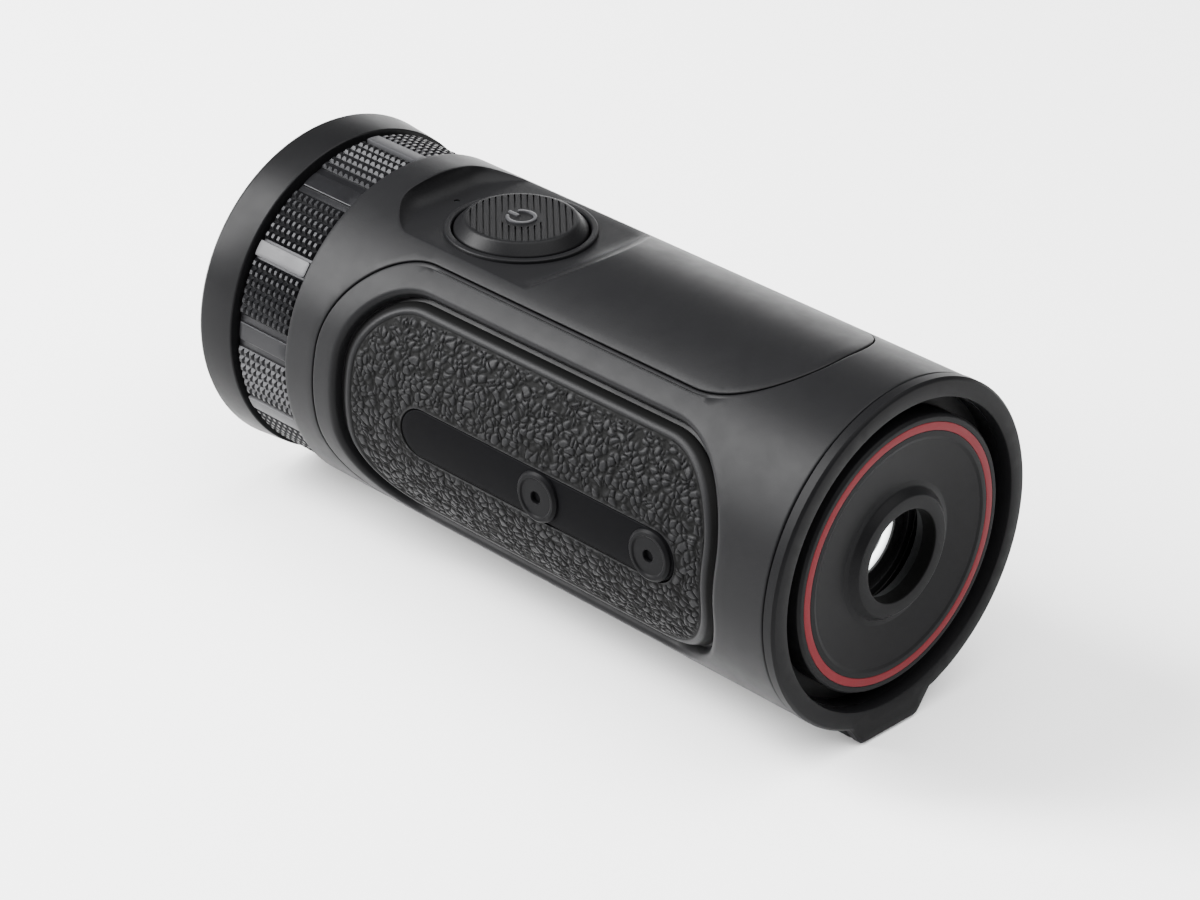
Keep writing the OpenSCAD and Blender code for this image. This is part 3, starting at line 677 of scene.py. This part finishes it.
# %%
cut = straight((half_turn, TONGUE), (half_turn, COLLAR_END), 1.0)
front_edge = straight((half_turn, COLLAR_END), (-half_turn, COLLAR_END), 1.0)
outline = np.concatenate([seam[::-1][:-1], cut[:-1], front_edge[:-1], cut[::-1][:-1] * [-1, 1]])
keep = np.concatenate([np.ones(len(seam) - 1), np.zeros(len(cut) - 1), np.ones(len(front_edge) - 1),
    np.zeros(len(cut) - 1)])
assert signed_area(outline) > 0
cover_rings = [(0.30, 0.0), (0.20, 0.02), (0.10, 0.09), (0.04, 0.25), (0.04, 2.4)]
pocket_rings = [(0.35, 0.0), (0.17, 0.012), (0.0, 0.07)]
bm = merge_bms(shell([(outline, keep, cover_rings), looped(pocket_hole, pocket_rings)], (1.1, 1.4)),
    pocket_surface(),
               turned([(22.5, COLLAR_END - 1.5, 0), (R - 1.5, COLLAR_END - 1.5, 0),
    (R - 1.5, COLLAR_END - 0.02, 0), (22.5, COLLAR_END - 0.02, 0)], 180))
finish_piece("front_cover", bm, COVER, "housing")

# %% [markdown]
# ## Grip panels with real leather grain
#
# A smooth moulded border runs round a field of pebbles. The pebbles come from Worley
# noise: the difference between the distances to the two nearest cell points is zero along
# the creases and grows towards the middle of each pebble.

# %%
GRIP_R = 27.0
def grain_height(points, borders):
    """Depth of the grained field below radius R, in millimetres."""
    out = np.empty(len(points))
    for i, (u, v) in enumerate(points):
        w = noise.noise_vector(Vector((u * 0.5, v * 0.5, 3))) * 0.6
        p = Vector((u * 0.86 + w.x, v * 0.78 + w.y, 0.0))
        d, _ = noise.voronoi(p)
        t = min(1.0, (d[1] - d[0]) / 0.29)
        swell = noise.noise(Vector((u * 0.7, v * 0.7, 9)))
        out[i] = 0.23 * t * t * (3 - 2 * t) + 0.07 * swell - 0.10 * d[0] * d[0]
    edge = near(points, borders, 0.35)
    out = np.where(edge, 0.5 * out, out)
    return (R - GRIP_R) + 0.20 - out

def grip_panel(side):
    border = [(2.75, 1.04), (2.62, 1.20), (2.48, 1.10), (2.32, 1.00), (2.0, 0.95), (1.65, 0.99),
        (1.3, 1.12), (0.9, 1.34), (0.5, 1.6), (0.15, 1.86), (0.0, 2.0), (0.0, 2.06)]
    loops = [(oriented(grip_loop(0.48) * [side, 1], True), border)]
    pill_rings = [(0.30, 1.02), (0.12, 1.06), (0.0, 1.2), (0.0, 2.05)]
    loops.append((oriented(pill_loop(4.4, 20.8, 79.7) * [side, 1], False), pill_rings))
    return shell([looped(p, r) for p, r in loops], (0.195, 0.195), back=True, height=grain_height)

for side, name in ((1, "left"), (-1, "right")):
    finish_piece(f"grip_panel_{name}", grip_panel(side), GRIP, "housing", sharp=50)

# %% [markdown]
# ## Inlay strips and bosses

# %%
def strip(side, hole=None):
    rings = [(0.35, 1.14), (0.2, 1.16), (0.08, 1.22), (0.0, 1.34), (0.0, 2.0)]
    p = oriented(pill_loop(4.3, 20.9, 79.6) * [side, 1], True)
    loops = [looped(p, rings)]
    if hole is not None:
        loops.append((oriented(hole, False), ones(hole), [(0.15, 1.14), (0.0, 1.25), (0.0, 3.0)]))
    return shell(loops, (0.9, 1.2), back=True)

finish_piece("label_strip_left", strip(1), STRIP, "housing")
flap_hole = np.array([(x, y) for x, y in [(-3.2, 30.2), (3.2, 30.2), (3.2, 47.8), (-3.2, 47.8)]], float)
flap_hole = resample(np.concatenate([flap_hole, flap_hole[:1]]), 0.8)[:-1] + [-half_turn / 2, 0]
finish_piece("label_strip_right", strip(-1, flap_hole), STRIP, "housing")

def boss(y):
    """A turned boss with a stepped rim and a blind hole, its axis along -x."""
    bm = turned([(1.0, -27.44, 0.12), (3.05, -27.30, 0.1), (3.3, -27.52, 0.1), (3.75, -27.52, 0.15),
        (4.2, -27.15, 0.2), (4.2, -26.0, 0), (2.5, -26.0, 0), (2.5, -23.0, 0), (1.0, -23.3, 0)], 72)
    bmesh.ops.rotate(bm, verts=bm.verts, cent=(0, 0, 0), matrix=Matrix.Rotation(-math.pi / 2, 3, "Z"))
    bmesh.ops.translate(bm, verts=bm.verts, vec=(0, y, 0))
    return bm

boss_y = [BOSS[0] + 4.2, BOSS[1] - 4.2]
finish_piece("accessory_bosses", merge_bms(*[boss(y) for y in boss_y]), BOSS_MAT, "housing")

# %% [markdown]
# ## Rear bezel and keel

# %%
rim_r = (span("rear_bezel", 0)[1] - span("rear_bezel", 0)[0]) / 2
def rear_face(u, v, depth):
    """A face looking back: u to the left, v up."""
    return placed(-u, depth, v)

# The rim and the keel's tab share one face, so their outline is one loop
meet = math.degrees(math.atan2(-26.57, 8.92))
tab = np.array([(-8.92, -26.57), (-6.4, -30.08), (-6.0, -30.35), (6.0, -30.35), (6.4, -30.08),
    (8.92, -26.57)])
rim_outline = np.concatenate([arc(0, 0, rim_r, meet, meet + 360 - 2 * (90 + meet), 220)[:-1],
    resample(tab, 0.9)[:-1]])
well = circle(0, 0, 25.0, 200)
bezel = merge_bms(shell([looped(rim_outline, [(0.5, 0.0), (0.4, 0.03), (0.09, 0.34), (0.0, 0.45),
    (0.0, 1.92)]),
                         looped(well, [(0.28, 0.0), (0.08, 0.08), (0.0, 0.28), (0.0, 5.0)])], (1.5, 1.5),
                         place=rear_face),
                  turned([(26.2, 1.5, 0), (26.2, 6.6, 0), (20.5, 6.6, 0), (20.5, 5.0, 0.1),
    (25.05, 5.0, 0), (25.05, 1.5, 0)], 200))
finish_piece("rear_bezel", bezel, BEZEL_MAT, "housing")

# %% [markdown]
# ## Base rail, screws and tripod thread
#
# The same sheet tool draws flat faces too: `place` maps the sheet to a plane instead of
# rolling it up.

# %%
def under(u, v, depth):
    """A face looking down: u across, v along, depth upwards from the keel's foot."""
    return placed(-u, v, depth - KEEL)

SCREWS, SOCKET = (18, 92), sum(span("tripod_insert", 1)) / 2

def rail():
    """The foot face with its screw seats, and flared flanks that run up under the body."""
    foot = rounded_box(-6.2, 6.2, 2.12, 96, 0.5)
    holes = [(circle(0, y, 2.45), [(-0.1, 0.0), (0.0, 0.1), (1.1, 1.25), (1.1, 3.0)]) for y in SCREWS]
    holes.append((circle(0, SOCKET, 4.85), [(-0.15, 0.0), (0.0, 0.15), (0.0, 3.5)]))
    loops = [looped(foot, [(0.35, 0.0), (0.1, 0.08), (0.0, 0.3)])]
    loops += [looped(h, r) for h, r in holes]
    bm = shell(loops, (1.2, 1.6), place=under)
    top = foot.copy()
    top[:, 0] *= 9.75 / 6.2
    top[foot[:, 1] > 60, 1] += 3.0
    levels = [under(foot[:, 0], foot[:, 1], np.full(len(foot), 0.3)),
        under(top[:, 0], top[:, 1], np.full(len(foot), 4.85))]
    strips(bm, levels)
    return bm

finish_piece("base_rail", rail(), BEZEL_MAT, "housing")

def screw(y):
    """Countersunk head with a hexagon recess."""
    head = circle(0, y, 2.3, 48, False)
    hexagon = resample(arc(0, y, 1.02, 360, 0, 7), 0.34)[:-1]
    bm = shell([looped(head, [(0.15, 0.12), (0.04, 0.15), (0.0, 0.24), (0.95, 1.25), (1.1, 6.0)]),
                looped(hexagon, [(-0.06, 0.12), (0.0, 0.2), (0.0, 1.0)])], (0.5, 0.5), place=under,
                floors=(1,))
    return bm

finish_piece("base_screws", merge_bms(*[screw(y) for y in SCREWS]), STEEL, "housing")

# The bore shows the crests of a 1/4-20 thread: one crest every 1.27 mm
crests = [(3.25 if k % 2 == 0 else 2.72, -KEEL + 0.55 + 0.635 * k, 0) for k in range(12)]
insert = [(4.8, -KEEL + 0.05, 0.15), (4.8, -22.9, 0), (6.5, -22.9, 0), (6.5, -21.5, 0), (0, -21.5, 0),
    (0, -22.3, 0), (3.25, -22.3, 0)] + crests[::-1] + [(3.55, -KEEL + 0.05, 0.05)]
finish_piece("tripod_insert", turned(insert, 72, "z", (0, SOCKET, 0)), BRASS, "housing")

# %% [markdown]
# ## Power button
#
# Ribs run diagonally across the cap. Each groove is a slot loop cut by two circles, so it
# ends on a clean arc near the rim and round the symbol.

# %%
RIB_TURN = math.radians(43.5)
def cap_top(u, v, depth):
    """The cap's face: the sheet turned by the rib angle, seen from above."""
    across, along = math.cos(RIB_TURN), math.sin(RIB_TURN)
    return placed(u * across + v * along, BUTTON_Y - u * along + v * across, BUTTON_TOP - depth)

def grooves(pitch=1.0, width=0.5, outer=8.7, inner=3.3):
    loops = []
    for i in range(-8, 9):
        xs = np.linspace(i * pitch - width / 2, i * pitch + width / 2, 4)
        far = np.sqrt(outer ** 2 - xs ** 2)
        if abs(i * pitch) + width / 2 < inner:
            close = np.sqrt(inner ** 2 - xs ** 2)
            ends = [(close, far), (-far, -close)]
        else:
            ends = [(-far, far)]
        for low, high in ends:
            loop = np.concatenate([np.stack([xs, low], 1), np.stack([xs[::-1], high[::-1]], 1)])
            loops.append(resample(np.concatenate([loop, loop[:1]]), 0.5)[:-1][::-1].copy())
    return loops

rim_loop = circle(0, 0, 10.65, 120, False)
cap_loops = [looped(rim_loop, [(2.05, 0.0), (1.75, 0.03), (1.5, 0.14), (1.36, 0.32), (0.12, 1.62),
    (0.02, 1.78), (0.0, 2.0), (0.0, 4.1)])]
cap_loops += [looped(g, [(-0.13, 0.0), (-0.05, 0.05), (0.04, 0.2), (0.15, 0.42)]) for g in grooves()]
cap = shell(cap_loops, (0.6, 0.6), place=cap_top, floors=range(1, len(cap_loops)))
skirt = turned([(10.66, 22.6, 0), (11.8, 22.6, 0.1), (11.8, 21.4, 0.1), (8.6, 21.4, 0.1), (8.6, 24.4, 0),
    (2.2, 24.4, 0), (2.2, 21.4, 0.1), (0, 21.4, 0), (0, 24.9, 0), (10.4, 24.9, 0)], 120, "z",
    (0, BUTTON_Y, 0))
finish_piece("button_cap", merge_bms(cap, skirt), BUTTON, "power_button")
ring_top = span("button_ring", 2)[1]
finish_piece("button_ring", turned([(11.05, FLOOR + 0.02, 0), (12.2, FLOOR + 0.02, 0),
    (12.2, ring_top, 0.3), (11.05, ring_top, 0.3)], 144, "z", (0, BUTTON_Y, 0)),
             COVER, "housing")

SYMBOL_HEIGHT = 0.22
def symbol_top(u, v, depth):
    """The raised symbol's face, seen from above."""
    return placed(u, BUTTON_Y + v, BUTTON_TOP + SYMBOL_HEIGHT - depth)

ring_arc = np.concatenate([arc(0, 0, 2.5, 120, 420, 60), arc(0, 0, 1.9, 420, 120, 60)])
ring_arc = resample(np.concatenate([ring_arc, ring_arc[:1]]), 0.25)[:-1]
bar = rounded_box(-0.3, 0.3, 0.6, 2.8, 0.12, 0.15)
soft = [(0.1, 0.0), (0.03, 0.03), (0.0, 0.1), (0.0, 0.26)]
finish_piece("power_symbol", merge_bms(*[shell([(oriented(p, True), ones(p), soft)], (0.3, 0.3), back=True,
    place=symbol_top) for p in (ring_arc, bar)]),
             SYMBOL, "power_button")

# %% [markdown]
# ## Focus ring
#
# Six bars divide the ring. Beside each bar lies a patch of 6 by 9 cut pyramids, and a
# smooth flat sits halfway between two bars.

# %%
BAR_PHI = 55.2
def on_ring(u, v, depth):
    """u in degrees round the ring, depth below a radius of 28."""
    a = np.radians(np.asarray(u))
    r = R - np.asarray(depth)
    return np.stack([-r * np.sin(a), np.broadcast_to(v, a.shape), r * np.cos(a)], -1)

def pad(phi, half, y0, y1, top, bevel, foot=26.4):
    """A raised block on the ring between two angles, its edges rounded."""
    u = R * math.radians(1)
    loop = rounded_box((phi - half) * u, (phi + half) * u, y0, y1, 0.15, 0.7)
    d = R - top
    rings = [(bevel, d), (bevel * 0.3, d + bevel * 0.25), (0.0, d + bevel), (0.0, R - foot)]
    return shell([looped(loop, rings)], (1.2, 1.6))

ROWS, COLUMNS, ROW, COLUMN = 6, 9, 3.37, 1.28
def knurl(start):
    """One patch of pyramids with flat tops, on a block that rises from the ring."""
    bm = bmesh.new()
    y0 = FOCUS[0] + 0.5
    us = start + ROW * np.arange(ROWS + 1)
    ys = y0 + COLUMN * np.arange(COLUMNS + 1)
    valley, peak = R - 26.83, R - 27.38
    grid = [[bm.verts.new(on_ring(u, y, valley)) for y in ys] for u in us]
    for i in range(ROWS):
        for j in range(COLUMNS):
            cu, cy = (us[i] + us[i + 1]) / 2, (ys[j] + ys[j + 1]) / 2
            tops = [bm.verts.new(on_ring(cu + a * ROW * 0.20, cy + b * COLUMN * 0.20, peak)) for a,
                b in ((-1, -1), (1, -1), (1, 1), (-1, 1))]
            base = [grid[i][j], grid[i + 1][j], grid[i + 1][j + 1], grid[i][j + 1]]
            for k in range(4):
                bm.faces.new((base[k], base[(k + 1) % 4], tops[(k + 1) % 4], tops[k]))
            bm.faces.new(tops)
    border = grid[0] + [row[-1] for row in grid[1:]] + grid[-1][-2::-1] + [row[0] for row in grid[-2:0:-1]]
    low = []
    for v in border:
        r = math.hypot(v.co.x, v.co.z)
        low.append(bm.verts.new((v.co.x * 26.4 / r, v.co.y, v.co.z * 26.4 / r)))
    for k in range(len(border)):
        n = (k + 1) % len(border)
        bm.faces.new((border[k], border[n], low[n], low[k]))
    return bm

ring_parts = [turned([(23.5, FOCUS[0], 0.15), (26.6, FOCUS[0], 0.25), (26.6, FOCUS[1], 0.25),
    (23.5, FOCUS[1], 0.15),
                      (23.5, 114, 0), (25.0, 114, 0), (25.0, 110, 0), (23.5, 110, 0)], 216)]
bars = []
for i in range(6):
    c = BAR_PHI + 60 * i
    ring_parts += [knurl(c + 3.7), knurl(c - 3.7 - ROW * ROWS),
        pad(c + 30, 3.4, FOCUS[0] + 0.35, FOCUS[1] - 0.35, 26.98, 0.2)]
    bars.append(pad(c, 2.75, FOCUS[0] + 0.1, FOCUS[1] - 0.35, 27.52, 0.14, 25.6))
finish_piece("focus_ring", merge_bms(*ring_parts), ANODISED, "focus_ring", sharp=20)
finish_piece("focus_bars", merge_bms(*bars), BLASTED, "focus_ring")

# %% [markdown]
# ## Hood ring and objective
#
# The hood ring is one turned profile. The germanium lens sits behind it with its retaining
# ring.

# %%
hood = [(23.25, 119.2, 0), (R - 0.05, 119.2, 0.3), (R + 0.55, 125.8, 0.5), (R + 0.3, 126.3, 0.2),
    (R - 0.1, BEZEL[1], 0.3), (25.6, BEZEL[1], 0.4),
        (21.8, 122.6, 0.3), (18.6, 122.6, 0.2), (18.6, 121.8, 0), (23.25, 121.8, 0)]
finish_piece("front_bezel", turned(hood, 288), HOOD, "housing")
cell = [(11.05, 98, 0), (20, 98, 0.3), (20, 120.4, 0.25), (18.1, 120.4, 0.2), (18.1, 114.6, 0),
    (16.8, 114.6, 0)]
cell += [(16.8 - 0.55 * k + (0.25 if k % 2 else 0), 114.6 - 0.9 * k, 0) for k in range(1, 12)] + [(10.2,
    103.6, 0), (10.2, 102.6, 0), (11.05, 102.6, 0)]
finish_piece("objective_cell", turned(cell, 180), BARREL, "objective_cell")
front = [(0, 116.62 + 0.03, 0)] + [(2.75 * k, 46.65 + math.sqrt(4900 - (2.75 * k) ** 2),
    0) for k in range(1, 7)] + [(18.05, 114.72, 0)]
front += [(18.05 * k / 12, 58.9 + math.sqrt(3600 - (18.05 * k / 12) ** 2), 0) for k in range(12, -1, -1)]
finish_piece("objective_front_lens", turned(front, 144), GERMANIUM, "objective_cell")
retainer = turned([(16.9, 116.6, 0), (18.05, 116.4, 0), (18.05, 120.3, 0.15), (17.3, 120.3, 0.15),
    (16.9, 119.6, 0.1)], 144)
finish_piece("objective_retainer", retainer, BARREL, "objective_cell")

# %% [markdown]
# ## Dioptre dial and eyepiece

# %%
dial = [(7.4, 0.0, 0.35), (9.7, 0.0, 0.35), (10.7, 1.15, 0.5), (11.6, 1.3, 0.8), (18.3, 0.62, 0.3),
    (18.8, 0.44, 0.3), (19.65, 0.44, 0.05), (19.65, 0.9, 0), (21.05, 0.9, 0),
        (21.05, 0.44, 0.05), (21.8, 0.44, 0.3), (22.2, 0.85, 0.3), (22.2, 4.6, 0), (20, 4.6, 0),
        (20, 21.2, 0), (19.3, 21.2, 0), (19.3, 22.2, 0), (20, 22.2, 0), (20, 23.4, 0), (15.6, 23.4, 0),
        (15.6, 16.9, 0), (17.3, 16.9, 0),
        (17.3, 12.1, 0), (15.6, 12.1, 0), (15.6, 4.6, 0), (8.6, 4.6, 0.1), (8.6, 2.6, 0.1), (7.4, 2.6, 0.2)]
finish_piece("dioptre_dial", turned(dial, 240), BEZEL_MAT, "dioptre_dial")
finish_piece("dial_red_ring", turned([(19.7, 0.43, 0.06), (21.0, 0.43, 0.06), (21.0, 0.88, 0),
    (19.7, 0.88, 0)], 240), RED, "dioptre_dial")
finish_piece("eyepiece_cell", turned([(11.05, 7, 0.15), (13, 7, 0.3), (13, 22, 0.2), (10.55, 22, 0),
    (10.55, 16.5, 0), (10, 16.5, 0), (10, 12.6, 0), (11.05, 12.6, 0)], 144),
             BARREL, "eyepiece_cell")
finish_piece("eye_lens_retainer", merge_bms(turned([(9.6, 7.1, 0.1), (11, 7.1, 0.1), (11, 8.4, 0),
    (7.5, 8.4, 0.08), (7.5, 7.9, 0.12), (9.6, 7.9, 0)], 144),
    turned([(9, 20.5, 0.1), (10.5, 20.5, 0), (10.5, 21.5, 0), (9, 21.5, 0.1)], 96)),
             BARREL, "eyepiece_cell")

def biconvex(r, y0, y1, r0, r1, n=14):
    """Lens profile: apex positions y0 and y1, curvature radii r0 and r1."""
    first = [(r * k / n, y0 + r0 - math.sqrt(r0 ** 2 - (r * k / n) ** 2), 0) for k in range(n + 1)]
    return first + [(r * k / n, y1 - r1 + math.sqrt(r1 ** 2 - (r * k / n) ** 2), 0) for k in range(n, -1,
        -1)]

finish_piece("eye_lens", turned(biconvex(11, 8.2, 12.55, 40, 30), 120), PAINTED_GLOW_GLASS, "eyepiece_cell")

# %% [markdown]
# ## USB flap
#
# A curved rubber flap with a plug that fills the socket's mouth, three pull ridges near its
# rear end and a knuckle round the steel pin.

# %%
flap_loop = rounded_box(-2.9, 2.9, 30.6, 45.9, 0.5, 0.6)
ridges = [rounded_box(-1.7, 1.7, y - 0.22, y + 0.22, 0.2, 0.4, clockwise=True) for y in (32.0, 33.1, 34.2)]
flap_loops = [looped(flap_loop, [(0.35, 1.15), (0.12, 1.2), (0.0, 1.4), (0.0, 2.5)])]
flap_loops += [looped(r, [(-0.1, 1.15), (0.0, 1.2), (0.08, 1.36)]) for r in ridges]
flap_bm = shell(flap_loops, (0.9, 0.9), back=True, floors=(1, 2, 3), place=lambda u, v,
    d: roll(u - half_turn / 2, v, d))
knuckle = turned([(0.45, -2.9, 0.08), (0.8, -2.9, 0.12), (0.8, 2.9, 0.12), (0.45, 2.9, 0.08)], 40, "z",
    (26.05, 46.5, 0))
PLUG_FOOT = 25.5
plug_loop = rounded_box(-2.1, 2.1, 33.6, 43.4, 1.6, 0.5)
plug = shell([looped(plug_loop, [(0.0, 0.0), (0.0, 0.75), (0.25, 0.95)])], (0.8, 0.8), place=lambda u, v,
    d: placed(PLUG_FOOT - d, v, u))
finish_piece("usb_cover", merge_bms(flap_bm, knuckle, plug), RUBBER, "usb_cover")

# %% [markdown]
# ## The CAD's own parts
#
# Parts inside the housing keep their CAD shape and get a finish each.

# %%
FINISHES = {
    BARREL: ["objective_housing", "eyepiece_housing", "display_module"],
    STEEL: ["usb_socket", "usb_hinge_pin", "chassis", "board_screws", "battery_contacts",
    "objective_drive_pin", "eyepiece_drive_pin", "dial_retainer", "shutter_shaft", "shutter_base",
    "shutter_motor"],
    GAP: ["shutter_blade", "shutter_cover", "board_components", "key_switch"],
    BOARD: ["main_board", "button_board", "sensor_board"],
    GOLD: ["detector_package"], BLUE: ["battery_cell"], RUBBER: ["seals"],
    PIPE: ["light_pipe", "switch_stem"],
    GERMANIUM: ["objective_rear_lens", "detector_window"], GLASS: ["field_lens", "display_panel"],
}
for finish, nodes in FINISHES.items():
    for name in nodes:
        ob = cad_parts[name]
        for k in range(max(1, len(ob.material_slots))):
            if ob.material_slots:
                ob.material_slots[k].material = finish
            else:
                ob.data.materials.append(finish)
print("CAD parts finished:", sum(len(v) for v in FINISHES.values()))

# %% [markdown]
# ## Studio
#
# A pale floor under a broad overhead light, one large soft box high on the left towards the
# objective, and a small one low on the right. The camera looks down from the left rear.

# %%
def softbox(name, location, target, size, power):
    light = bpy.data.lights.new(name, "AREA")
    light.shape, light.size, light.size_y, light.energy = "RECTANGLE", size[0], size[1], power
    ob = new_object(name, light)
    ob.location = location
    ob.rotation_euler = (Vector(target) - Vector(location)).to_track_quat("-Z", "Y").to_euler()

floor_mesh = bpy.data.meshes.new("floor")
floor_bm = bmesh.new()
bmesh.ops.create_grid(floor_bm, x_segments=1, y_segments=1, size=6.0)
floor_bm.to_mesh(floor_mesh)
floor_bm.free()
floor = new_object("floor", floor_mesh)
floor.location = (0, 0, -0.0002)
floor_mat = surface("studio paper", "#f4f4f4", 0.9, grain=(1.0, 0.01), tone=0.0)
floor_mesh.materials.append(floor_mat)

world = bpy.data.worlds.new("studio")
bpy.context.scene.world = world
world.use_nodes = True
world.node_tree.nodes["Background"].inputs["Color"].default_value = (1, 1, 1, 1)
# The lens sees a dim room; straight past the object the backdrop is as pale as the floor
seen = add_node(world.node_tree, "ShaderNodeLightPath").outputs["Is Camera Ray"]
level = add_node(world.node_tree, "ShaderNodeMapRange", i0=seen, i3=0.35, i4=2.6).outputs[0]
world.node_tree.links.new(level, world.node_tree.nodes["Background"].inputs["Strength"])
centre = (0, 0.0085, 0.03)
sky = bpy.data.lights.new("overhead", "SUN")
sky.energy, sky.angle = 7.6, math.radians(75)
sky_ob = new_object("overhead", sky)
sky_ob.rotation_euler = Vector((0.1, -0.35, 1.2)).to_track_quat("Z", "Y").to_euler()
softbox("left strip", (-0.53, 0.62, 0.62), centre, (0.36, 0.9), 54.0)
softbox("right strip", (0.87, 0.67, 0.20), centre, (0.5, 0.3), 2.6)

def main_camera(azimuth, elevation, roll_deg, distance, lens, shift):
    """Camera from the view angles and the distance of the rear rim's centre, in millimetres."""
    a, e, r = (math.radians(v) for v in (azimuth, elevation, roll_deg))
    back = Vector((math.sin(a) * math.cos(e), -math.cos(a) * math.cos(e), math.sin(e)))
    right = Vector((math.cos(a), math.sin(a), 0))
    up = back.cross(right)
    right, up = right * math.cos(r) + up * math.sin(r), up * math.cos(r) - right * math.sin(r)
    eye = (back * distance - right * shift[0] - up * shift[1]) / 1000 + Vector((0, REAR / 1000,
        AXIS / 1000))
    cam = bpy.data.cameras.new("main")
    cam.lens, cam.sensor_width, cam.clip_start = lens, 36, 0.01
    ob = new_object("main camera", cam)
    ob.matrix_world = Matrix((right, up, back)).transposed().to_4x4()
    ob.matrix_world.translation = eye
    bpy.context.scene.camera = ob

main_camera(-45.86, 28.87, 1.50, 557.7, 113.8, (44.47, -15.66))
